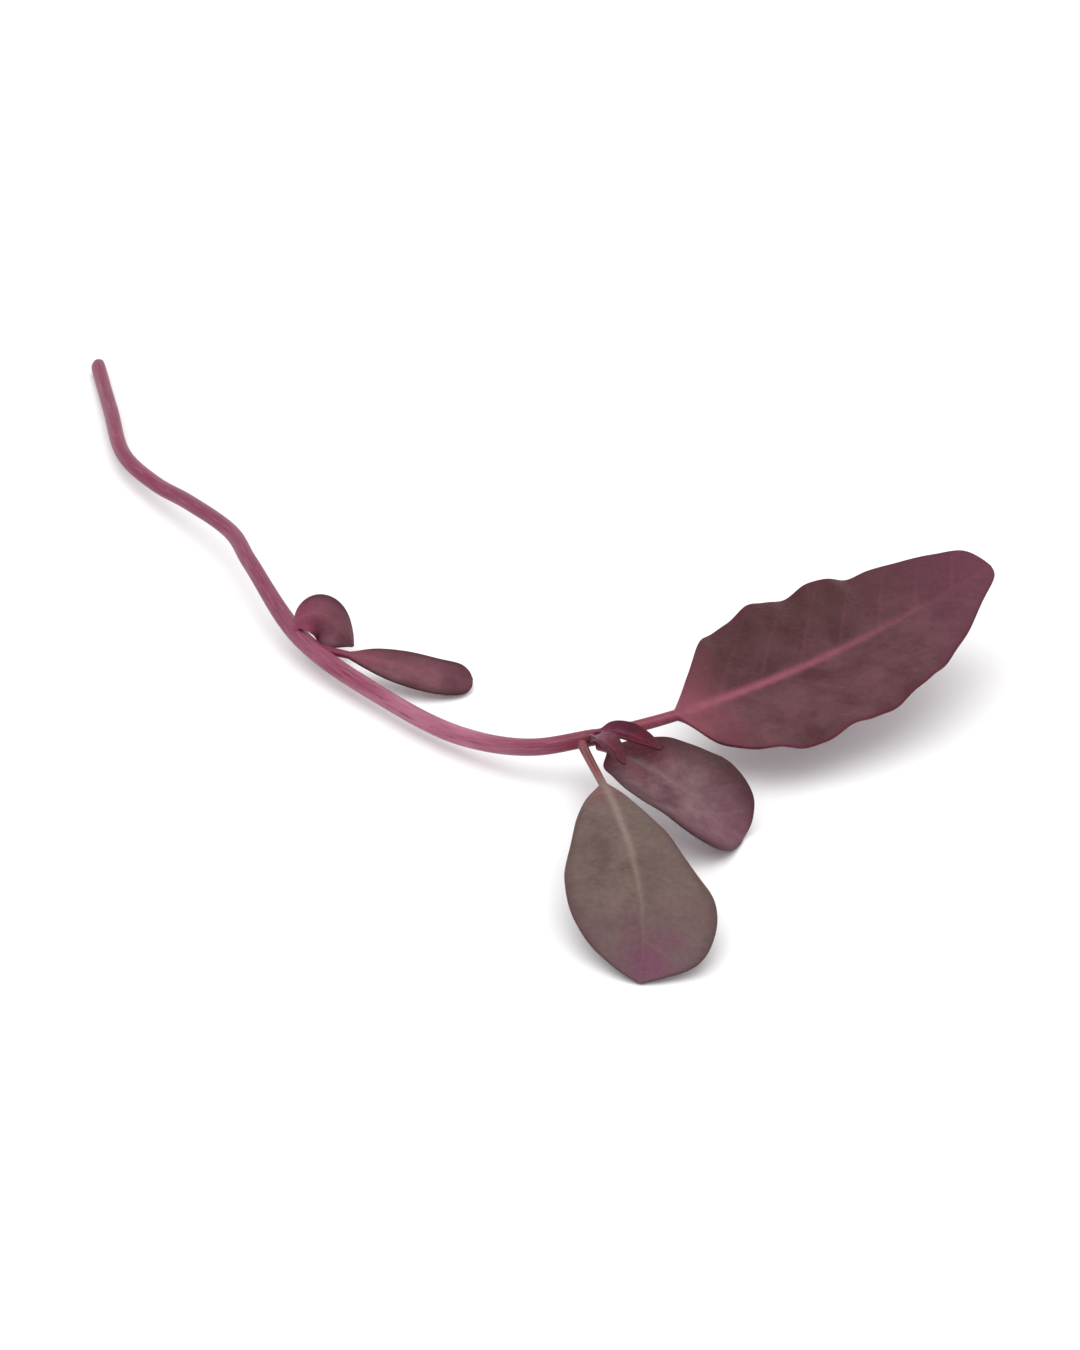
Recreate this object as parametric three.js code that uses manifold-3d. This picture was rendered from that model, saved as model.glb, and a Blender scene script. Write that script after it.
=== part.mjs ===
// One cut amaranth seedling, lying on a level surface: a thin bent stem that carries a pair
// of narrow seed leaves partway along it and, at its tip, three true leaves around two young ones.
// Millimetres, +Z up. The origin is the middle of the foot of the bounding box.
import * as THREE from 'three';
import Module from 'manifold-3d';

const wasm = await Module();
wasm.setup();

// Driving dimensions
const GAP = 0.05;              // clearance kept between a leaf and the stem that it grows from
const BLADE_HALF = 0.12;       // half the thickness of a leaf at its margin
const STEM_SIDES = 12;
const STEM_STEPS = 5;          // rings from one point of the route to the next
const LEAF_STEP = 1.2;         // most that lies between two rings of a leaf, along its midrib
const FEWEST_BLADE_STEPS = 8;
const ACROSS = [0, 0.1, 0.4, 0.75, 0.95, 1];   // shares of the half width, from midrib to margin
const RIB_SPREAD = 1.3;        // how far the midrib's swelling spreads, in its own radii
const RUFFLED_HALF = 3;        // half width from which the ruffle has its full height
const CALMING = [0.7, 0.85];   // shares of a leaf's length between which the ruffle dies away
const DOME = [[0.8, 0.3], [0.4, 0.5]];   // rings that close the stem's tip: share of radius, distance on
const STEM_COLOR = 0xa3566f;
const ROUGHNESS = 0.5;

// The stem's route from its cut end to its tip, with its radius there: x, y, z, radius.
const STEM = [
  [-28.5, 45.0, 0.55, 0.48],
  [-27.6, 38.8, 0.85, 0.5],
  [-26.6, 32.4, 1.2, 0.51],
  [-24.5, 28.4, 1.5, 0.52],
  [-22.4, 25.4, 2.0, 0.52],
  [-19.4, 20.6, 2.5, 0.53],
  [-18.2, 16.8, 2.6, 0.54],
  [-14.7, 8.5, 1.75, 0.62],
  [-10.0, 2.7, 1.35, 0.6],
  [-4.3, -3.0, 1.5, 0.62],
  [0.4, -5.7, 2.3, 0.58],
  [4.6, -5.9, 3.2, 0.56],
];

// Each leaf. Its midrib is a cubic curve through space. Its outline is a row for each place
// along the midrib: the distance from the base, then the half widths left and right of it.
// The stalk is bare up to the first row. face is what its upper side looks towards, at the base
// and at the tip. fold lifts both halves by an angle, and cup is how fast they go on curling up,
// in radians a millimetre. The margin's ruffle is a wave with crests at the given distances.
const LEAVES = {
  large_leaf: {
    color: 0x60404a,
    midrib: [[4.0, -5.85, 3.1], [11.5, -4.4, 4.0], [20.5, 0.6, 4.7], [30.6, 9.35, 7.0]],
    outline: [[6.2, 0, 0], [8.4, 2.6, 3.7], [11.2, 5.1, 5.8], [15, 5.9, 6.2], [20.6, 5.5, 5.8],
      [25.4, 4.2, 4.0], [28.8, 3.0, 2.0], [30.6, 2.0, 0.9], [31.2, 0, 0]],
    face: [[-0.1, -0.3, 1], [-0.1, -0.34, 1]],
    fold: 4, cup: -0.01, stalk: 0.45,
    ruffle: { height: 0.35, period: 5.3, crests: [15.3, 15.8] },
  },
  lower_leaf: {
    color: 0x77635f,
    midrib: [[3.7, -6.1, 2.9], [4.6, -13, 4.4], [8.6, -22, 4.6], [7.5, -31.4, 0.25]],
    outline: [[6.9, 0, 0], [9, 0.9, 1.6], [13, 2.2, 3.4], [17, 3.5, 4.6], [20.4, 4.7, 4.5],
      [23, 4.5, 3.6], [24.8, 3.6, 2.2], [25.8, 1.6, 1.0], [26.3, 0, 0]],
    face: [[0, 0, 1], [0, -0.1, 1]],
    fold: 8, cup: -0.04, stalk: 0.32,
    ruffle: { height: 0.15, period: 7, crests: [20.5, 18] },
  },
  cupped_leaf: {
    color: 0x6b4a50,
    midrib: [[4.9, -6.4, 2.95], [7.6, -8.9, 3.4], [10.9, -12.9, 3.2], [14.3, -13.6, 0.24]],
    outline: [[1.0, 0, 0], [2.4, 1.2, 1.8], [4.6, 2.3, 3.2], [7.6, 3.0, 4.1], [9.8, 3.1, 4.4],
      [11.6, 2.5, 3.6], [12.5, 1.4, 2.0], [12.9, 0, 0]],
    face: [[0.1, -0.5, 1], [0.2, -0.4, 1]],
    fold: 12, cup: 0.15, stalk: 0.36,
    ruffle: { height: 0.12, period: 5, crests: [9, 9] },
  },
  curled_seed_leaf: {
    color: 0x6f424f,
    midrib: [[-15.0, 8.9, 2.0], [-15.4, 9.2, 3.5], [-12.5, 9.2, 4.3], [-11.4, 8.4, 1.3]],
    outline: [[0.5, 0, 0], [1.2, 0.8, 1.4], [2.4, 1.3, 2.1], [3.8, 1.2, 2.1], [5.0, 0.7, 1.4],
      [5.9, 0, 0]],
    face: [[-1, -0.5, 0.3], [1, -0.5, 0.5]],
    fold: -10, cup: -0.25, stalk: 0.3,
    ruffle: { height: 0, period: 5, crests: [0, 0] },
  },
  open_seed_leaf: {
    color: 0x7d505c,
    midrib: [[-14.3, 7.9, 1.6], [-12.2, 6.9, 1.8], [-7.5, 3.9, 2.2], [-3.5, 5.4, 0.6]],
    outline: [[3.0, 0, 0], [4.6, 0.7, 0.6], [6.6, 1.0, 1.2], [9.0, 1.0, 1.5], [10.8, 0.9, 1.2],
      [11.4, 0.5, 0.6], [11.6, 0, 0]],
    face: [[0, -0.4, 1], [0, -0.5, 1]],
    fold: 5, cup: 0, stalk: 0.3,
    ruffle: { height: 0, period: 5, crests: [0, 0] },
  },
  upper_young_leaf: {
    color: 0x7a2f4c,
    midrib: [[4.6, -6.0, 3.5], [5.5, -6.9, 4.8], [7.4, -8.4, 4.8], [8.9, -9.6, 4.6]],
    outline: [[0.6, 0, 0], [1.6, 0.5, 0.5], [3.2, 0.7, 0.7], [4.6, 0.4, 0.4], [5.4, 0, 0]],
    face: [[-0.6, -0.4, 1], [0, -0.4, 1]],
    fold: 35, cup: 0.2, stalk: 0.2,
    ruffle: { height: 0, period: 5, crests: [0, 0] },
  },
  front_young_leaf: {
    color: 0x7a2f4c,
    midrib: [[4.3, -6.3, 3.3], [4.6, -7.6, 4.5], [5.5, -9.6, 4.9], [6.5, -11.4, 4.6]],
    outline: [[0.5, 0, 0], [1.6, 0.5, 0.5], [3.2, 0.8, 0.8], [4.8, 0.5, 0.5], [5.8, 0, 0]],
    face: [[0, 0.4, 1], [0, -0.2, 1]],
    fold: 35, cup: 0.2, stalk: 0.18,
    ruffle: { height: 0, period: 5, crests: [0, 0] },
  },
};

const vector = ([x, y, z]) => new THREE.Vector3(x, y, z);
const UP = new THREE.Vector3(0, 0, 1);

// Joins rings of points, which run anticlockwise as seen from the far end, into a closed solid.
function loft(rings) {
  const sides = rings[0].length;
  const points = rings.flat();
  const faces = [];
  for (let ring = 0; ring + 1 < rings.length; ring += 1) {
    for (let side = 0; side < sides; side += 1) {
      const a = ring * sides + side;
      const b = ring * sides + (side + 1) % sides;
      faces.push(a, a + sides, b, a + sides, b + sides, b);
    }
  }
  const middle = (ring) => ring.reduce((sum, p) => sum.add(p), vector([0, 0, 0])).divideScalar(sides);
  const first = points.push(middle(rings[0])) - 1;
  const last = points.push(middle(rings[rings.length - 1])) - 1;
  const end = (rings.length - 1) * sides;
  for (let side = 0; side < sides; side += 1) {
    const next = (side + 1) % sides;
    faces.push(first, side, next, last, end + next, end + side);
  }
  return new wasm.Manifold(new wasm.Mesh({
    numProp: 3,
    vertProperties: new Float32Array(points.flatMap((p) => p.toArray())),
    triVerts: new Uint32Array(faces),
  }));
}

// The stem as a round bar along its route, cut square at the foot and domed at the tip.
function stemSolid(clearance) {
  const route = new THREE.CatmullRomCurve3(STEM.map(vector));
  const spans = STEM.length - 1;
  const count = spans * STEM_STEPS;
  const ringAt = (share, size, onward) => {
    const span = Math.min(Math.floor(share * spans), spans - 1);
    const within = share * spans - span;
    const radius = size * (THREE.MathUtils.lerp(STEM[span][3], STEM[span + 1][3], within) + clearance);
    const along = route.getTangent(share);
    const right = along.clone().cross(UP).normalize();
    const top = right.clone().cross(along);
    const centre = route.getPoint(share).addScaledVector(along, onward);
    return Array.from({ length: STEM_SIDES }, (_, side) => {
      const angle = 2 * Math.PI * side / STEM_SIDES;
      return centre.clone().addScaledVector(right, radius * Math.cos(angle))
        .addScaledVector(top, radius * Math.sin(angle));
    });
  };
  const rings = Array.from({ length: count + 1 }, (_, ring) => ringAt(ring / count, 1, 0));
  DOME.forEach(([size, onward]) => rings.push(ringAt(1, size, onward)));
  return loft(rings);
}

// One ring of a leaf at a share of its midrib, with the half widths left and right of it there.
function leafRing(leaf, midrib, length, along, left, right) {
  const share = Math.min(along / length, 1);
  const tangent = midrib.getTangentAt(share);
  const face = vector(leaf.face[0]).lerp(vector(leaf.face[1]), share);
  const side = tangent.clone().cross(face).normalize();
  const normal = side.clone().cross(tangent);
  const centre = midrib.getPointAt(share);
  const rib = THREE.MathUtils.lerp(leaf.stalk, BLADE_HALF, share);
  const fold = THREE.MathUtils.degToRad(leaf.fold);
  const cup = leaf.cup || 1e-6;
  const point = (across, upper) => {
    const half = across > 0 ? right : left;
    const reach = (rib + half) * Math.abs(across);
    const flat = half / (half + rib);
    const out = THREE.MathUtils.lerp(reach, (Math.sin(fold + cup * reach) - Math.sin(fold)) / cup, flat);
    const lift = flat * (Math.cos(fold) - Math.cos(fold + cup * reach)) / cup;
    const crest = leaf.ruffle.crests[across > 0 ? 1 : 0];
    const wave = Math.cos(2 * Math.PI * (along - crest) / leaf.ruffle.period);
    const full = Math.min(1, half / RUFFLED_HALF) * (1 - THREE.MathUtils.smoothstep(share, ...CALMING));
    const ruffle = leaf.ruffle.height * wave * across * across * full;
    const swell = Math.exp(-((reach / (RIB_SPREAD * rib)) ** 2));
    const thick = THREE.MathUtils.lerp(BLADE_HALF, rib, swell) * Math.sqrt(1 - across ** 6);
    return centre.clone().addScaledVector(side, Math.sign(across) * out)
      .addScaledVector(normal, lift + ruffle + upper * thick);
  };
  const rightToLeft = [...ACROSS.slice(1).reverse(), ...ACROSS.map((share) => -share)];
  const upper = rightToLeft.map((across) => point(across, 1));
  const lower = rightToLeft.slice(1, -1).reverse().map((across) => point(across, -1));
  return [...upper, ...lower];
}

// A leaf as a thin closed blade on its stalk.
function leafSolid(leaf) {
  const midrib = new THREE.CubicBezierCurve3(...leaf.midrib.map(vector));
  const outline = new THREE.CatmullRomCurve3(leaf.outline.map(vector));
  const [base] = leaf.outline[0];
  const [length] = leaf.outline[leaf.outline.length - 1];
  const stalkSteps = Math.ceil(base / LEAF_STEP);
  const bladeSteps = Math.max(FEWEST_BLADE_STEPS, Math.ceil((length - base) / LEAF_STEP));
  const rings = [];
  for (let step = 0; step < stalkSteps; step += 1) {
    rings.push(leafRing(leaf, midrib, length, base * step / stalkSteps, 0, 0));
  }
  for (let step = 0; step <= bladeSteps; step += 1) {
    const { x, y, z } = outline.getPoint(step / bladeSteps);
    rings.push(leafRing(leaf, midrib, length, x, Math.max(y, 0), Math.max(z, 0)));
  }
  return loft(rings);
}

function meshOf(name, solid, color) {
  const { vertProperties, triVerts } = solid.getMesh();
  const geometry = new THREE.BufferGeometry();
  geometry.setAttribute('position', new THREE.BufferAttribute(vertProperties, 3));
  geometry.setIndex(new THREE.BufferAttribute(triVerts, 1));
  geometry.computeVertexNormals();
  const material = new THREE.MeshStandardMaterial({ color, roughness: ROUGHNESS, metalness: 0 });
  const mesh = new THREE.Mesh(geometry, material);
  mesh.name = name;
  return mesh;
}

const group = new THREE.Group();
group.add(meshOf('stem', stemSolid(0), STEM_COLOR));
const stemWithGap = stemSolid(GAP);
for (const [name, leaf] of Object.entries(LEAVES)) {
  group.add(meshOf(name, leafSolid(leaf).subtract(stemWithGap), leaf.color));
}

const box = new THREE.Box3().setFromObject(group);
const middle = box.getCenter(new THREE.Vector3());
group.position.set(-middle.x, -middle.y, -box.min.z);

export default group;
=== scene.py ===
"""The looks of one cut amaranth seedling that lies on a pale floor: its stem, its two seed leaves,
its three true leaves and the two young leaves at its tip. The forms are worked out in millimetres,
in the same way as the CAD solids, and are set down in metres on the CAD stem's place."""
import math

import bpy
import numpy as np
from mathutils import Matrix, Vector


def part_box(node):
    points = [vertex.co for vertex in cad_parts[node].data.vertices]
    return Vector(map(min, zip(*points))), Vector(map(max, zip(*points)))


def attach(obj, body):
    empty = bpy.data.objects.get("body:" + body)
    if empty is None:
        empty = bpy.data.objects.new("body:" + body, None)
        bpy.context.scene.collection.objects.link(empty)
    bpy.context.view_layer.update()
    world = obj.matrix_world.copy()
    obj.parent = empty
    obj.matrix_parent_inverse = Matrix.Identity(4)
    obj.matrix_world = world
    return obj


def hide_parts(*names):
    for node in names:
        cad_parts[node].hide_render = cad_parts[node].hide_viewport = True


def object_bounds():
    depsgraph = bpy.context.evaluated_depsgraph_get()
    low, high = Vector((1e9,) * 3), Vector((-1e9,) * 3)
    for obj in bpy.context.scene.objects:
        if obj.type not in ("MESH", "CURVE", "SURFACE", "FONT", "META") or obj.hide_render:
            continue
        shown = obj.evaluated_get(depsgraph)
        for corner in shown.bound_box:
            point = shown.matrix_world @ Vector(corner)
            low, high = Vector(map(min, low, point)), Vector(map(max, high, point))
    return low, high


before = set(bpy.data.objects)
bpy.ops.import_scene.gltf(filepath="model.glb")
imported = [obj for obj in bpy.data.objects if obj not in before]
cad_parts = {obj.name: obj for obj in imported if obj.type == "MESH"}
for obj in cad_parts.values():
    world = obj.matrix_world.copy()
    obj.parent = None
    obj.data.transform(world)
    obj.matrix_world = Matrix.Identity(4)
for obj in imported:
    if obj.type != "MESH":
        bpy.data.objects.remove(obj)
cad_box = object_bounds()

MM = 0.001

# The stem's route from its cut end to its tip: x, y, z, radius.
STEM = [
    (-28.5, 45.0, 0.55, 0.48), (-27.6, 38.8, 0.85, 0.5), (-26.6, 32.4, 1.2, 0.51),
    (-24.5, 28.4, 1.5, 0.52), (-22.4, 25.4, 2.0, 0.52), (-19.4, 20.6, 2.5, 0.53),
    (-18.2, 16.8, 2.6, 0.54), (-14.7, 8.5, 1.75, 0.62), (-10.0, 2.7, 1.35, 0.6),
    (-4.3, -3.0, 1.5, 0.62), (0.4, -5.7, 2.3, 0.58), (4.6, -5.9, 3.2, 0.56),
]
STEM_SIDES = 40
STEM_RINGS = 420
CUT_RINGS = (0.2, 0.45, 0.7, 0.88)   # shares of the radius at which the cut face has a ring
CUT_DEPTH = 0.03           # how far the cut face's middle lies inside its rim
DOME_RINGS = 7

BLADE_HALF = 0.12          # half the thickness of a leaf at its margin
RIB_SPREAD = 1.3           # how far the midrib's swelling spreads, in its own radii
RUFFLED_HALF = 3           # half width from which the ruffle has its full height
CALMING = (0.7, 0.85)      # shares of a leaf's length between which the ruffle dies away
NEARBY = 0.003             # share of the midrib over which its direction is taken
STALK_STEP = 0.11
EDGE_FROM = 0.965          # share of the half width beyond which the rings lie closer together
EDGE = (0.975, 0.988, 0.996, 1.0)
TIP_LENGTH = 2.2           # length over which the notch forms
MARGIN_WIDTH = 0.35        # width of the coloured line along the margin

# Each leaf's form is the CAD's: midrib, outline, face, fold, cup, stalk radius and ruffle.
# What is added here: side veins (how many, how far on they run for each millimetre out), the swell
# of the blade between them, the notch at the tip, how far the stalk's flush runs into the blade,
# and how finely the mesh is divided.
LEAVES = {
    "large_leaf": dict(
        midrib=[(4.0, -5.85, 3.1), (11.5, -4.4, 4.0), (20.5, 0.6, 4.7), (30.6, 9.35, 7.0)],
        outline=[(6.2, 0, 0), (8.4, 2.6, 3.7), (11.2, 5.1, 5.8), (15, 5.9, 6.2), (20.6, 5.5, 5.8),
                 (25.4, 4.2, 4.0), (28.8, 3.0, 2.0), (30.6, 2.0, 0.9), (31.2, 0, 0)],
        face=[(-0.1, -0.3, 1), (-0.1, -0.34, 1)], fold=4, cup=-0.01, stalk=0.45,
        ruffle=(0.35, 5.3, 15.3, 15.8),
        veins=8, sweep=0.75, swell=0.04, notch=0.12, flush=5.5, rings=210, across=58),
    "lower_leaf": dict(
        midrib=[(3.7, -6.1, 2.9), (4.6, -13, 4.4), (8.6, -22, 4.6), (7.5, -31.4, 0.25)],
        outline=[(6.9, 0, 0), (9, 0.9, 1.6), (13, 2.2, 3.4), (17, 3.5, 4.6), (20.4, 4.7, 4.5),
                 (23, 4.5, 3.6), (24.8, 3.6, 2.2), (25.8, 1.6, 1.0), (26.3, 0, 0)],
        face=[(0, 0, 1), (0, -0.1, 1)], fold=8, cup=-0.04, stalk=0.32,
        ruffle=(0.15, 7, 20.5, 18),
        veins=6, sweep=0.8, swell=0.035, notch=0, flush=3.5, rings=180, across=52),
    "cupped_leaf": dict(
        midrib=[(4.9, -6.4, 2.95), (7.6, -8.9, 3.4), (10.9, -12.9, 3.2), (14.3, -13.6, 0.24)],
        outline=[(1.0, 0, 0), (2.4, 1.2, 1.8), (4.6, 2.3, 3.2), (7.6, 3.0, 4.1), (9.8, 3.1, 4.4),
                 (11.6, 2.5, 3.6), (12.5, 1.4, 2.0), (12.9, 0, 0)],
        face=[(0.1, -0.5, 1), (0.2, -0.4, 1)], fold=12, cup=0.15, stalk=0.36,
        ruffle=(0.12, 5, 9, 9),
        veins=5, sweep=0.8, swell=0.04, notch=0.1, flush=6, rings=130, across=44),
    "curled_seed_leaf": dict(
        midrib=[(-15.0, 8.9, 2.0), (-15.4, 9.2, 3.5), (-12.5, 9.2, 4.3), (-11.4, 8.4, 1.3)],
        outline=[(0.5, 0, 0), (1.2, 0.8, 1.4), (2.4, 1.3, 2.1), (3.8, 1.2, 2.1), (5.0, 0.7, 1.4),
                 (5.9, 0, 0)],
        face=[(-1, -0.5, 0.3), (1, -0.5, 0.5)], fold=-10, cup=-0.25, stalk=0.3,
        ruffle=(0, 5, 0, 0),
        veins=0, sweep=0, swell=0, notch=0, flush=3, rings=90, across=28),
    "open_seed_leaf": dict(
        midrib=[(-14.3, 7.9, 1.6), (-12.2, 6.9, 1.8), (-7.5, 3.9, 2.2), (-3.5, 5.4, 0.6)],
        outline=[(3.0, 0, 0), (4.6, 0.7, 0.6), (6.6, 1.0, 1.2), (9.0, 1.0, 1.5), (10.8, 0.9, 1.2),
                 (11.4, 0.5, 0.6), (11.6, 0, 0)],
        face=[(0, -0.4, 1), (0, -0.5, 1)], fold=5, cup=0, stalk=0.3,
        ruffle=(0, 5, 0, 0),
        veins=0, sweep=0, swell=0, notch=0, flush=3, rings=110, across=28),
    "upper_young_leaf": dict(
        midrib=[(4.6, -6.0, 3.5), (5.5, -6.9, 4.8), (7.4, -8.4, 4.8), (8.9, -9.6, 4.6)],
        outline=[(0.6, 0, 0), (1.6, 0.5, 0.5), (3.2, 0.7, 0.7), (4.6, 0.4, 0.4), (5.4, 0, 0)],
        face=[(-0.6, -0.4, 1), (0, -0.4, 1)], fold=35, cup=0.2, stalk=0.2,
        ruffle=(0, 5, 0, 0),
        veins=4, sweep=0.9, swell=0.03, notch=0, flush=3, rings=60, across=20),
    "front_young_leaf": dict(
        midrib=[(4.3, -6.3, 3.3), (4.6, -7.6, 4.5), (5.5, -9.6, 4.9), (6.5, -11.4, 4.6)],
        outline=[(0.5, 0, 0), (1.6, 0.5, 0.5), (3.2, 0.8, 0.8), (4.8, 0.5, 0.5), (5.8, 0, 0)],
        face=[(0, 0.4, 1), (0, -0.2, 1)], fold=35, cup=0.2, stalk=0.18,
        ruffle=(0, 5, 0, 0),
        veins=3, sweep=0.9, swell=0.02, notch=0, flush=3, rings=50, across=18),
}


# ---------------------------------------------------------------- curves

def unit(vectors):
    return vectors / np.maximum(np.linalg.norm(vectors, axis=-1, keepdims=True), 1e-12)


def bezier(points, count=600):
    """Points along a cubic curve."""
    a, b, c, d = np.array(points, float)
    t = np.linspace(0, 1, count)[:, None]
    return (1 - t) ** 3 * a + 3 * (1 - t) ** 2 * t * b + 3 * (1 - t) * t * t * c + t ** 3 * d


def through(points, count, dims=3):
    """A centripetal Catmull-Rom curve. Columns after the first dims don't affect its spacing."""
    rows = np.array(points, float)
    rows = np.vstack([2 * rows[0] - rows[1], rows, 2 * rows[-1] - rows[-2]])
    spans = len(points) - 1
    made = []
    for share in np.linspace(0, 1, count):
        span = min(int(share * spans), spans - 1)
        w = share * spans - span
        p0, p1, p2, p3 = rows[span:span + 4]
        d0, d1, d2 = (max(np.linalg.norm((b - a)[:dims]) ** 0.5, 1e-4)
                      for a, b in ((p0, p1), (p1, p2), (p2, p3)))
        t1 = ((p1 - p0) / d0 - (p2 - p0) / (d0 + d1) + (p2 - p1) / d1) * d1
        t2 = ((p2 - p1) / d1 - (p3 - p1) / (d1 + d2) + (p3 - p2) / d2) * d1
        square, cube = -3 * p1 + 3 * p2 - 2 * t1 - t2, 2 * p1 - 2 * p2 + t1 + t2
        made.append(p1 + t1 * w + square * w ** 2 + cube * w ** 3)
    return np.array(made)


def at(curve, shares):
    """The points at these shares of a curve's length."""
    lengths = np.r_[0, np.cumsum(np.linalg.norm(np.diff(curve, axis=0), axis=1))]
    return np.stack([np.interp(shares * lengths[-1], lengths, column) for column in curve.T], -1)


def smooth(value, low, high):
    """0 below low, 1 above high, and an even rise between."""
    t = np.clip((value - low) / (high - low), 0, 1)
    return t * t * (3 - 2 * t)


def waves(seed, along, out, scale, count=7):
    """A gentle random surface between about -1 and 1, with bumps about scale wide."""
    rng = np.random.default_rng(seed)
    total = np.zeros(np.broadcast(along, out).shape)
    for _ in range(count):
        turn, phase = rng.uniform(0, 2 * math.pi, 2)
        size = 2 * math.pi / (scale * rng.uniform(1.2, 2.6))
        total += np.sin(size * (along * math.cos(turn) + out * math.sin(turn)) + phase)
    return total / math.sqrt(2 * count)


# ---------------------------------------------------------------- meshes

def closed_mesh(name, rings, attributes):
    """A closed skin over rings of points in metres, with a value at each point for every attribute."""
    count, sides = rings.shape[:2]
    points = np.concatenate([rings.reshape(-1, 3), rings[:1].mean(1), rings[-1:].mean(1)])
    ring, side = np.meshgrid(np.arange(count - 1), np.arange(sides), indexing="ij")
    a = (ring * sides + side).ravel()
    b = (ring * sides + (side + 1) % sides).ravel()
    quads = np.stack([a, a + sides, b + sides, b], 1).tolist()
    first, last, end = count * sides, count * sides + 1, (count - 1) * sides
    turn = [(k, (k + 1) % sides) for k in range(sides)]
    caps = [(first, k, n) for k, n in turn] + [(last, end + n, end + k) for k, n in turn]
    mesh = bpy.data.meshes.new(name)
    mesh.from_pydata(points.tolist(), [], quads + caps)
    mesh.polygons.foreach_set("use_smooth", [True] * len(mesh.polygons))
    for key, values in attributes.items():
        table = values.reshape(count, sides, -1)
        values = np.concatenate([table.reshape(count * sides, -1), table[:1].mean(1), table[-1:].mean(1)])
        kind, field = ("FLOAT_VECTOR", "vector") if values.shape[1] == 3 else ("FLOAT", "value")
        made = mesh.attributes.new(key, kind, "POINT")
        made.data.foreach_set(field, values.astype(np.float32).ravel())
    mesh.update()
    piece = bpy.data.objects.new(name, mesh)
    bpy.context.collection.objects.link(piece)
    return piece


# ---------------------------------------------------------------- leaf form

def veins_of(leaf, along, out, half):
    """Where the side veins run (0 to 1), and how far the blade is between two of them (0 to 1)."""
    base, length = leaf["outline"][0][0], leaf["outline"][-1][0]
    if not leaf["veins"]:
        return np.zeros_like(out), np.zeros_like(out)
    pitch = (length - base) / leaf["veins"]
    reach = np.abs(out)
    start = along - leaf["sweep"] * reach * (1 + 0.05 * reach)
    turn = (start - base) / pitch + np.where(out > 0, 0.5, 0.05)
    near = np.abs(turn - np.round(turn)) * pitch * 0.78
    share = np.clip(reach / np.maximum(half, 0.1), 0, 1)
    width = 0.15 * (1 - 0.6 * share)
    alive = smooth(start, base - 0.6, base + 0.4) * (1 - smooth(share, 0.82, 1.0))
    between = np.abs(np.sin(math.pi * turn)) ** 0.8 * smooth(start, base - 1, base + 1)
    vein = np.exp(-((near / width) ** 2)) * alive * (1 - 0.45 * share)
    return vein, between * np.sin(math.pi * share) ** 0.6


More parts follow.
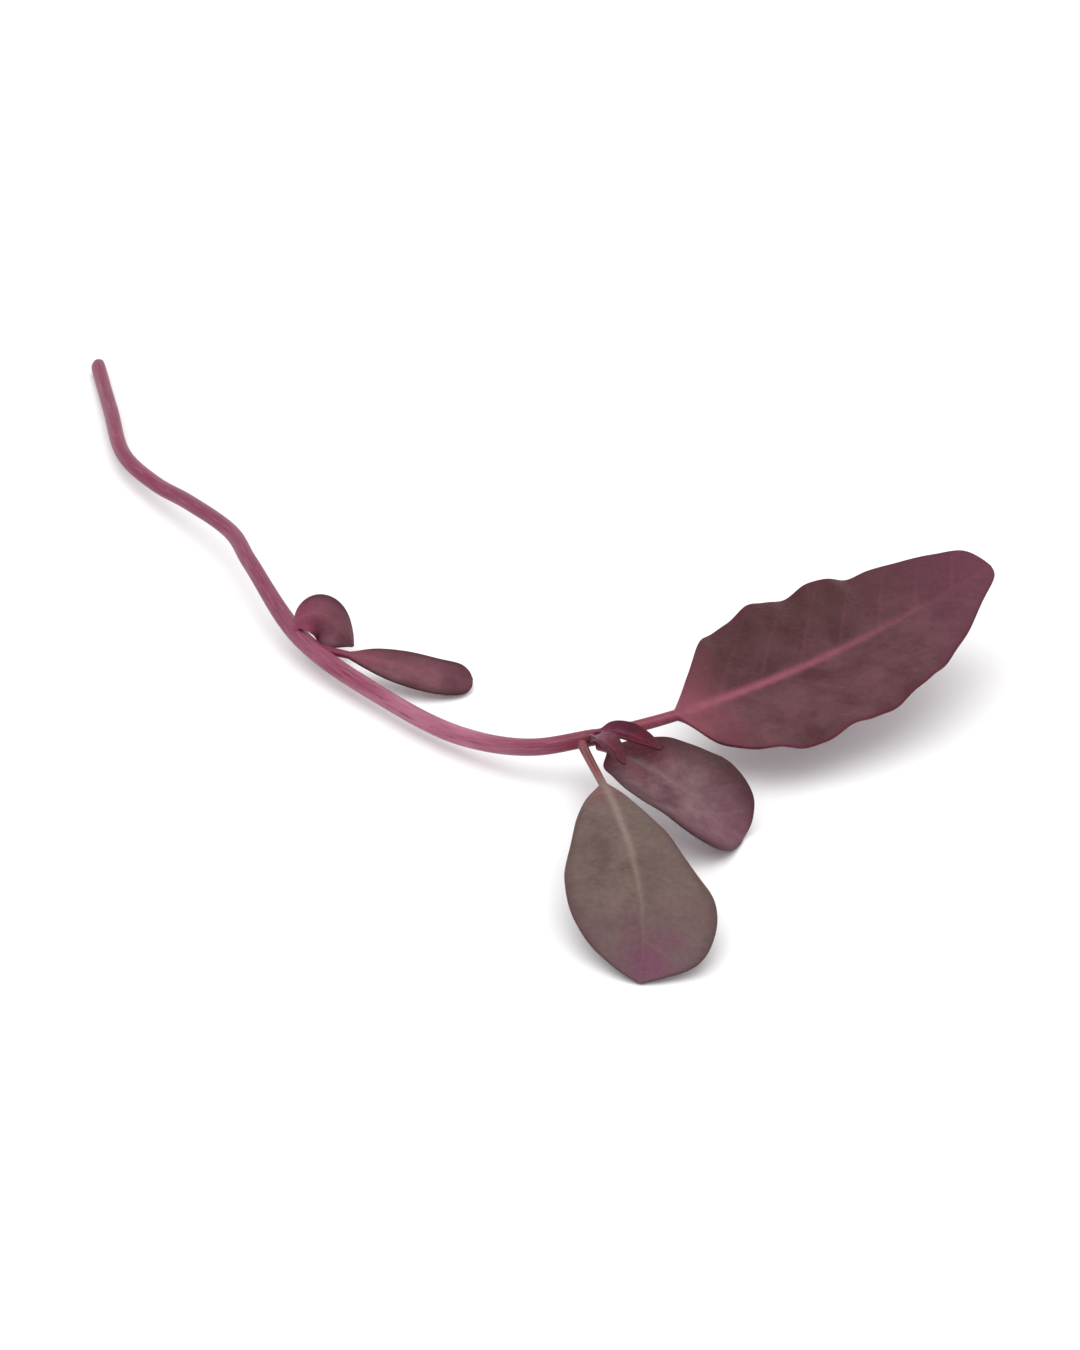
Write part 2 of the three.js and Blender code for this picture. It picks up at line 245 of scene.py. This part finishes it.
def leaf_piece(name, seed):
    """One leaf: a stalk with a shallow channel that opens into a veined, ruffled blade."""
    leaf = LEAVES[name]
    outline = through(leaf["outline"], 1500)
    base, length = leaf["outline"][0][0], leaf["outline"][-1][0]
    stalk = np.linspace(0, base, max(6, int(base / STALK_STEP)))[:-1]
    blade = base + (length - base) * (1 - (1 - np.linspace(0, 1, leaf["rings"])) ** 1.3)
    along = np.concatenate([stalk, blade])[:, None]
    order = np.maximum.accumulate(outline[:, 0])
    left, right = (np.interp(along, order, np.maximum(column, 0)) for column in outline[:, 1:].T)

    curve = bezier(leaf["midrib"])
    shares = along[:, 0] / length
    ahead, behind = np.minimum(shares + NEARBY, 1), np.maximum(shares - NEARBY, 0)
    tangent = unit(at(curve, ahead) - at(curve, behind))
    face = np.outer(1 - shares, leaf["face"][0]) + np.outer(shares, leaf["face"][1])
    aside = unit(np.cross(tangent, face))
    normal = np.cross(aside, tangent)
    centre = at(curve, shares)

    inner = np.linspace(0, 1, leaf["across"])[:-1]
    half_way = np.concatenate([inner[inner < EDGE_FROM], EDGE])
    across = np.concatenate([half_way[::-1], -half_way[1:]])
    upper = np.concatenate([np.ones(len(across)), np.zeros(len(across) - 2)])
    upper[[0, len(across) - 1]] = 0.5
    across = np.concatenate([across, across[1:-1][::-1]])[None, :]

    half = np.where(across > 0, right, left)
    rib = leaf["stalk"] + (BLADE_HALF - leaf["stalk"]) * shares[:, None]
    foot = 1 + 0.2 * np.exp(-along / 0.7)
    out = (rib * foot + half) * across
    reach = np.abs(out)
    flat = half / (half + rib)
    vein, between = veins_of(leaf, along, out, half + rib)
    midrib = np.exp(-((out / (1.1 * rib)) ** 2))

    fold = math.radians(leaf["fold"])
    cup = leaf["cup"] or 1e-6
    bent = (np.sin(fold + cup * reach) - math.sin(fold)) / cup * np.sign(across)
    sideways = out * (1 - flat) + bent * flat
    lift = flat * (math.cos(fold) - np.cos(fold + cup * reach)) / cup
    height, period, crest_left, crest_right = leaf["ruffle"]
    phase = 2 * math.pi * (along - np.where(across > 0, crest_right, crest_left)) / period
    opened = np.minimum(1, half / RUFFLED_HALF)
    calmed = 1 - smooth(along / length, *CALMING)
    ruffle = np.cos(phase) + 0.2 * np.cos(2.3 * phase + 1)
    lift = lift + height * calmed * opened * across ** 2 * ruffle
    lift = lift + leaf["swell"] * between * opened
    lift = lift + 0.10 * opened * waves(seed, along, out, 3.0) * np.abs(across)

    # Thickness: round on the stalk, a raised rib under the blade and a groove over it.
    round_part = rib * foot * np.sqrt(np.maximum(0, 1 - across ** 2))
    channel = 0.3 * rib * np.exp(-((across / 0.4) ** 2)) * smooth(along, 0.2, 1.5)
    spread = np.exp(-((out / (RIB_SPREAD * rib)) ** 2))
    to_margin = (1 - np.abs(across)) * (rib + half)
    rim = np.sqrt(1 - (1 - np.clip(to_margin / BLADE_HALF, 0, 1)) ** 2)
    over = BLADE_HALF + 0.25 * (rib - BLADE_HALF) * spread - 0.05 * midrib * opened - 0.022 * vein
    under = BLADE_HALF + (rib - BLADE_HALF) * spread + 0.07 * vein
    thick_over = (round_part - channel) * (1 - flat) + over * rim * flat
    thick_under = round_part * (1 - flat) + under * rim * flat
    rise = lift + np.where(upper == 1, thick_over, np.where(upper == 0, -thick_under, 0))

    tip = smooth(along, length - TIP_LENGTH, length)
    onward = leaf["notch"] * tip * reach * np.exp(1 - reach)
    points = (centre[:, None] + tangent[:, None] * onward[..., None]
              + aside[:, None] * sideways[..., None] + normal[:, None] * rise[..., None])
    blade_share = np.clip((along - base) / (length - base), 0, 1)
    spot = np.stack(np.broadcast_arrays(along, out, seed * 9.0 + 0 * out), -1)
    attributes = {
        "vein": np.maximum(vein * opened, 0) + 0 * out,
        "rib": midrib + 0 * out,
        "side": across + 0 * out,
        "along": blade_share + 0 * out,
        "margin": np.exp(-to_margin / MARGIN_WIDTH) * opened,
        "upper": upper[None, :] + 0 * out,
        "stalk": (1 - smooth(along, base * 0.7, base + leaf["flush"])) + 0 * out,
        "spot": spot,
    }
    return closed_mesh(name + "_skin", (points + SHIFT) * MM, attributes)


# ---------------------------------------------------------------- stem form

def stem_rings():
    """The stem's rings, with the angle round it and the distance along it of each point."""
    route = through(STEM, 40 * len(STEM))
    place = at(route, np.linspace(0, 1, STEM_RINGS))
    centre, radius = place[:, :3], place[:, 3]
    tangent = unit(np.gradient(centre, axis=0))
    aside = unit(np.cross(tangent, (0, 0, 1)))
    top = np.cross(aside, tangent)
    travel = np.r_[0, np.cumsum(np.linalg.norm(np.diff(centre, axis=0), axis=1))][:, None]
    angle = np.linspace(0, 2 * math.pi, STEM_SIDES, endpoint=False)[None, :]
    ridges = 0.022 * np.cos(5 * angle + travel * 0.02) + 0.010 * np.cos(11 * angle - travel * 0.05 + 1)
    uneven = 0.02 * waves(3, travel, 2 * np.sin(angle), 3.5)
    size = radius[:, None] * (1 + ridges + uneven)
    # the cut end is pinched in a little, and the tip closes in a dome
    size = size * (0.93 + 0.07 * smooth(travel, 0, 0.5))
    slant = 0.14 * np.cos(angle + 0.6) * (1 - smooth(travel, 0, 0.8))
    around = aside[:, None] * np.cos(angle)[..., None] + top[:, None] * np.sin(angle)[..., None]
    points = centre[:, None] + tangent[:, None] * slant[..., None] + around * size[..., None]
    dome = []
    for turn in np.linspace(0, math.pi / 2, DOME_RINGS + 2)[1:-1]:
        onward = tangent[-1] * radius[-1] * 0.9 * math.sin(turn)
        dome.append(centre[-1] + onward + (points[-1] - centre[-1]) * math.cos(turn))
    cut = [centre[0] + (points[0] - centre[0]) * share + tangent[0] * CUT_DEPTH * (1 - share)
           for share in CUT_RINGS]
    rings = np.concatenate([np.array(cut), points, np.array(dome)])
    face = np.zeros((len(rings), STEM_SIDES))
    face[:len(cut)] = np.array([1, 1, 1, 0.7])[:, None]
    length = np.concatenate([np.zeros(len(cut)), travel[:, 0], np.full(len(dome), travel[-1, 0])])
    return rings, np.broadcast_to(angle, face.shape), length[:, None] + 0 * face, face


def stem_piece():
    rings, angle, travel, face = stem_rings()
    spot = np.stack([travel, np.cos(angle), np.sin(angle)], -1)
    attributes = {"spot": spot, "along": travel / travel.max(), "cut": face}
    return closed_mesh("stem_skin", (rings + SHIFT) * MM, attributes)


# The CAD stem's lowest corner says where the whole seedling stands.
SHIFT = np.array(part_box("stem")[0]) / MM - stem_rings()[0].reshape(-1, 3).min(0)


# ---------------------------------------------------------------- materials

LIGHT = 1.45               # how bright white paper would show where the seedling lies
REFLECTED = 0.04           # what the leaves' skin reflects of the white room
DARKEST = 0.004


def paint(code):
    """The base colour that looks like a colour code, such as "a3566f", in the studio's light."""
    parts = [int(code[k:k + 2], 16) / 255 for k in (0, 2, 4)]
    seen = [c / 12.92 if c <= 0.04045 else ((c + 0.055) / 1.055) ** 2.4 for c in parts]
    return tuple(max((c - REFLECTED) / LIGHT, DARKEST) for c in seen) + (1,)


class Graph:
    """A material's nodes, made one call at a time."""

    def __init__(self, name):
        self.material = bpy.data.materials.new(name)
        self.material.use_nodes = True
        self.tree = self.material.node_tree
        self.shader = self.tree.nodes["Principled BSDF"]

    def add(self, kind, inputs=(), output=0, **settings):
        made = self.tree.nodes.new("ShaderNode" + kind)
        for key, value in settings.items():
            setattr(made, key, value)
        for key, value in dict(inputs).items():
            self.put(made.inputs[key], value)
        return made.outputs[output]

    def put(self, socket, value):
        if isinstance(value, bpy.types.NodeSocket):
            self.tree.links.new(value, socket)
        else:
            socket.default_value = value

    def value(self, name):
        return self.add("Attribute", output="Fac", attribute_name=name)

    def vector(self, name):
        return self.add("Attribute", output="Vector", attribute_name=name)

    def mix(self, share, a, b):
        return self.add("Mix", {0: share, 6: a, 7: b}, output=2, data_type="RGBA")

    def math(self, operation, a, b=0.0):
        return self.add("Math", {0: a, 1: b}, operation=operation)

    def ramp(self, value, low, high, to_low=0.0, to_high=1.0):
        return self.add("MapRange", {"Value": value, "From Min": low, "From Max": high,
                                     "To Min": to_low, "To Max": to_high}, clamp=True)

    def noise(self, vector, scale, detail=3.0, rough=0.55):
        return self.add("TexNoise", {"Vector": vector, "Scale": scale, "Detail": detail,
                                     "Roughness": rough})

    def bump(self, height, strength, distance, normal=None):
        inputs = {"Height": height, "Strength": strength, "Distance": distance}
        if normal is not None:
            inputs["Normal"] = normal
        return self.add("Bump", inputs)


def leaf_material(name, body, dark, left, base, tip, vein, margin, rim, under, under_vein, blotch=None,
                  gloss=0.42):
    """Skin of a leaf: a mottled upper side with a rosy stalk and veins, partly painted shade on its left
    half and edges, and a paler underside.
    """
    g = Graph(name)
    spot, along, margin_at = g.vector("spot"), g.value("along"), g.value("margin")
    veins, rib, stalk = g.value("vein"), g.value("rib"), g.value("stalk")
    mottle = g.ramp(g.noise(spot, 0.42, 3), 0.38, 0.66)
    fine = g.noise(spot, 2.4, 4, 0.6)
    cells = g.add("TexVoronoi", {"Vector": spot, "Scale": 1.5}, feature="DISTANCE_TO_EDGE")
    net = g.ramp(cells, 0.0, 0.09, 1.0, 0.0)

    upper = g.mix(mottle, paint(body), paint(dark))
    # Partly painted shade: the left half is painted darker in the left colour, which stands for the shade
    # on that half together with the leaf's own darker tint there.
    upper = g.mix(g.ramp(g.value("side"), 0.15, -0.6, 0.0, 0.65), upper, paint(left))
    upper = g.mix(g.math("MULTIPLY", g.ramp(along, 0.62, 1.0), 0.75), upper, paint(tip))
    if blotch:
        colour, place = blotch
        patch = g.math("MULTIPLY", g.ramp(g.noise(spot, 0.30, 2), 0.40, 0.60), g.ramp(along, *place))
        upper = g.mix(g.math("MULTIPLY", patch, 0.65), upper, paint(colour))
    upper = g.mix(g.math("MULTIPLY", stalk, 0.9), upper, paint(base))
    upper = g.mix(g.math("MULTIPLY", net, 0.07), upper, paint(vein))
    upper = g.mix(g.math("MULTIPLY", veins, 0.13), upper, paint(vein))
    fading = g.math("MULTIPLY", g.ramp(along, 0.3, 0.85, 1.0, 0.1), g.ramp(stalk, 0.5, 1.0, 1.0, 0.2))
    upper = g.mix(g.math("MULTIPLY", rib, fading), upper, paint(vein))
    # The margin colour is painted along both edges, rim wide, and as a thin line along the margin; on the
    # cupped leaf this wide band is painted shade on the sides of its bowl.
    band = g.math("MULTIPLY", g.ramp(g.value("side"), 1.0 - rim, 1.0), 0.8)
    far_band = g.math("MULTIPLY", g.ramp(g.value("side"), rim - 1.0, -1.0), 0.8)
    band = g.math("MAXIMUM", g.math("MAXIMUM", band, far_band), g.math("MULTIPLY", margin_at, 0.5))
    upper = g.mix(g.math("MULTIPLY", band, g.ramp(stalk, 0.6, 1.0, 1.0, 0.0)), upper, paint(margin))

    lower = g.mix(mottle, paint(under), paint(margin))
    lower = g.mix(g.math("MULTIPLY", net, 0.3), lower, paint(under_vein))
    lower = g.mix(g.math("MULTIPLY", g.math("MAXIMUM", veins, rib), 0.75), lower, paint(under_vein))
    colour = g.mix(g.value("upper"), lower, upper)
    shade = g.ramp(fine, 0.3, 0.7, 0.86, 1.12)
    colour = g.add("Mix", {0: 1.0, 6: colour, 7: g.add("CombineColor", {0: shade, 1: shade, 2: shade})},
                   output=2, data_type="RGBA", blend_type="MULTIPLY")
    g.put(g.shader.inputs["Base Color"], colour)
    g.put(g.shader.inputs["Roughness"], g.ramp(fine, 0.3, 0.7, gloss - 0.06, gloss + 0.08))
    g.shader.inputs["Specular IOR Level"].default_value = 0.22
    g.shader.inputs["Subsurface Weight"].default_value = 0.12
    g.shader.inputs["Subsurface Radius"].default_value = (1.0, 0.28, 0.38)
    g.shader.inputs["Subsurface Scale"].default_value = 0.25 * MM
    grain = g.bump(fine, 0.35, 0.03 * MM)
    g.put(g.shader.inputs["Normal"], g.bump(net, 0.5, -0.025 * MM, grain))
    return g.material


def stem_material():
    """Skin of the stem: moist magenta with paler and darker streaks along it, and a pale cut face."""
    g = Graph("stem_skin")
    spot, along, cut = g.vector("spot"), g.value("along"), g.value("cut")
    stretched = g.add("Mapping", {"Vector": spot, "Scale": (0.12, 1.0, 1.0)})
    streaks = g.noise(stretched, 4.5, 4, 0.6)
    broad = g.noise(g.add("Mapping", {"Vector": spot, "Scale": (0.16, 0.5, 0.5)}), 1.2, 2)
    colour = g.mix(g.ramp(along, 0.55, 0.8), paint("934e67"), paint("c17b93"))
    colour = g.mix(g.ramp(along, 0.86, 1.0), colour, paint("7c2f48"))
    colour = g.mix(g.math("MULTIPLY", g.ramp(broad, 0.42, 0.62), 0.55), colour, paint("953e5a"))
    colour = g.mix(g.math("MULTIPLY", g.ramp(streaks, 0.52, 0.72), 0.55), colour, paint("c48397"))
    colour = g.mix(g.math("MULTIPLY", g.ramp(streaks, 0.46, 0.28), 0.65), colour, paint("702a42"))
    face = g.mix(g.ramp(g.noise(spot, 5.0, 3), 0.4, 0.6), paint("e0c2bd"), paint("c59aa0"))
    colour = g.mix(cut, colour, face)
    g.put(g.shader.inputs["Base Color"], colour)
    g.put(g.shader.inputs["Roughness"], g.ramp(streaks, 0.3, 0.7, 0.30, 0.44))
    g.shader.inputs["Specular IOR Level"].default_value = 0.35
    g.shader.inputs["Subsurface Weight"].default_value = 0.25
    g.shader.inputs["Subsurface Radius"].default_value = (1.0, 0.35, 0.5)
    g.shader.inputs["Subsurface Scale"].default_value = 0.5 * MM
    g.put(g.shader.inputs["Normal"], g.bump(streaks, 0.5, 0.03 * MM))
    return g.material


LOOKS = {
    # Large leaf: its dark left colour is partly painted shade on the left half and partly the leaf's own
    # olive-maroon tint.
    "large_leaf": dict(
        body="745157", dark="5c3e43", left="573739", base="a8606f", tip="7d4b5c", vein="a2606f",
        margin="6a3646", rim=0.08, under="845468", under_vein="a07085"),
    "lower_leaf": dict(
        body="826e68", dark="6e5b57", left="7d6a64", base="9c5560", tip="785e67", vein="9a867e",
        margin="64504f", rim=0.18, under="8a6070", under_vein="a57c8c",
        blotch=("854d69", (0.66, 0.92))),
    # Cupped leaf: its pale body is partly a painted highlight for the gloss in its hollow; its darker
    # left half and its wide dark edge band (rim 0.55) are painted shade on the bowl's sides.
    "cupped_leaf": dict(
        body="9a7c81", dark="74525a", left="77545b", base="8c2450", tip="845a68", vein="95777b",
        margin="4e2331", rim=0.55, under="96657c", under_vein="b08296"),
    "seed_leaf": dict(
        body="92626d", dark="734a54", left="7c4f59", base="9a4c66", tip="6e4a52", vein="945c69",
        margin="52363d", rim=0.4, under="8c4e68", under_vein="a06a82"),
    "young_leaf": dict(
        body="7f3450", dark="5f2b3e", left="6c2d45", base="843858", tip="6a2b42", vein="91506a",
        margin="502635", rim=0.3, under="86466a", under_vein="a06a86"),
}


# ---------------------------------------------------------------- camera, floor and light

VIEW_ELEVATION = math.radians(32)
LENS = 1200                # so long that the camera stands about 3 m away
SENSOR = 36
PICTURE = (1080, 1350)
FILL = 0.84                # share of the picture's width that the seedling takes
FLOOR_HALF = 3
FLOOR_WHITE = 0.9
ROOM_LIGHT = 1.05          # the white room all round
LAMP_PLACE = (-0.05, -0.08, 0.7)
LAMP_SIZE = 0.9
LAMP_POWER = 2.8


def make_camera():
    low, high = cad_box
    data = bpy.data.cameras.new("camera")
    data.lens, data.sensor_width = LENS, SENSOR
    camera = bpy.data.objects.new("camera", data)
    bpy.context.collection.objects.link(camera)
    seen = SENSOR * PICTURE[0] / PICTURE[1] / LENS
    distance = (high.x - low.x) / FILL / seen
    back = Vector((0, -math.cos(VIEW_ELEVATION), math.sin(VIEW_ELEVATION)))
    camera.location = back * distance
    camera.rotation_mode = "QUATERNION"
    camera.rotation_quaternion = (-back).to_track_quat("-Z", "Y")
    data.clip_start, data.clip_end = 0.01, 20
    bpy.context.scene.camera = camera


def make_floor():
    mesh = bpy.data.meshes.new("floor")
    corners = [(x * FLOOR_HALF, y * FLOOR_HALF, 0) for x, y in ((-1, -1), (1, -1), (1, 1), (-1, 1))]
    mesh.from_pydata(corners, [], [(0, 1, 2, 3)])
    floor = bpy.data.objects.new("floor", mesh)
    bpy.context.collection.objects.link(floor)
    g = Graph("floor")
    g.shader.inputs["Base Color"].default_value = (FLOOR_WHITE, FLOOR_WHITE, FLOOR_WHITE, 1)
    g.shader.inputs["Roughness"].default_value = 0.9
    g.shader.inputs["Specular IOR Level"].default_value = 0.1
    mesh.materials.append(g.material)


def make_light():
    world = bpy.data.worlds.new("studio")
    world.use_nodes = True
    sky = world.node_tree.nodes["Background"]
    sky.inputs["Color"].default_value = (1, 1, 1, 1)
    sky.inputs["Strength"].default_value = ROOM_LIGHT
    bpy.context.scene.world = world
    data = bpy.data.lights.new("lamp", "AREA")
    data.size, data.energy = LAMP_SIZE, LAMP_POWER
    lamp = bpy.data.objects.new("lamp", data)
    lamp.location = LAMP_PLACE
    lamp.rotation_mode = "QUATERNION"
    lamp.rotation_quaternion = (-Vector(LAMP_PLACE)).to_track_quat("-Z", "Y")
    bpy.context.collection.objects.link(lamp)
    bpy.context.scene.view_settings.view_transform = "Standard"


make_camera()
make_floor()
make_light()

# ---------------------------------------------------------------- pieces

stem = stem_piece()
stem.data.materials.append(stem_material())
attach(stem, "root")
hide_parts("stem")

skins = {look: leaf_material(look, **colours) for look, colours in LOOKS.items()}
for seed, (node, look) in enumerate([
        ("large_leaf", "large_leaf"), ("lower_leaf", "lower_leaf"), ("cupped_leaf", "cupped_leaf"),
        ("curled_seed_leaf", "seed_leaf"), ("open_seed_leaf", "seed_leaf"),
        ("upper_young_leaf", "young_leaf"), ("front_young_leaf", "young_leaf")], 1):
    piece = leaf_piece(node, seed)
    piece.data.materials.append(skins[look])
    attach(piece, "root")
    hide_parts(node)
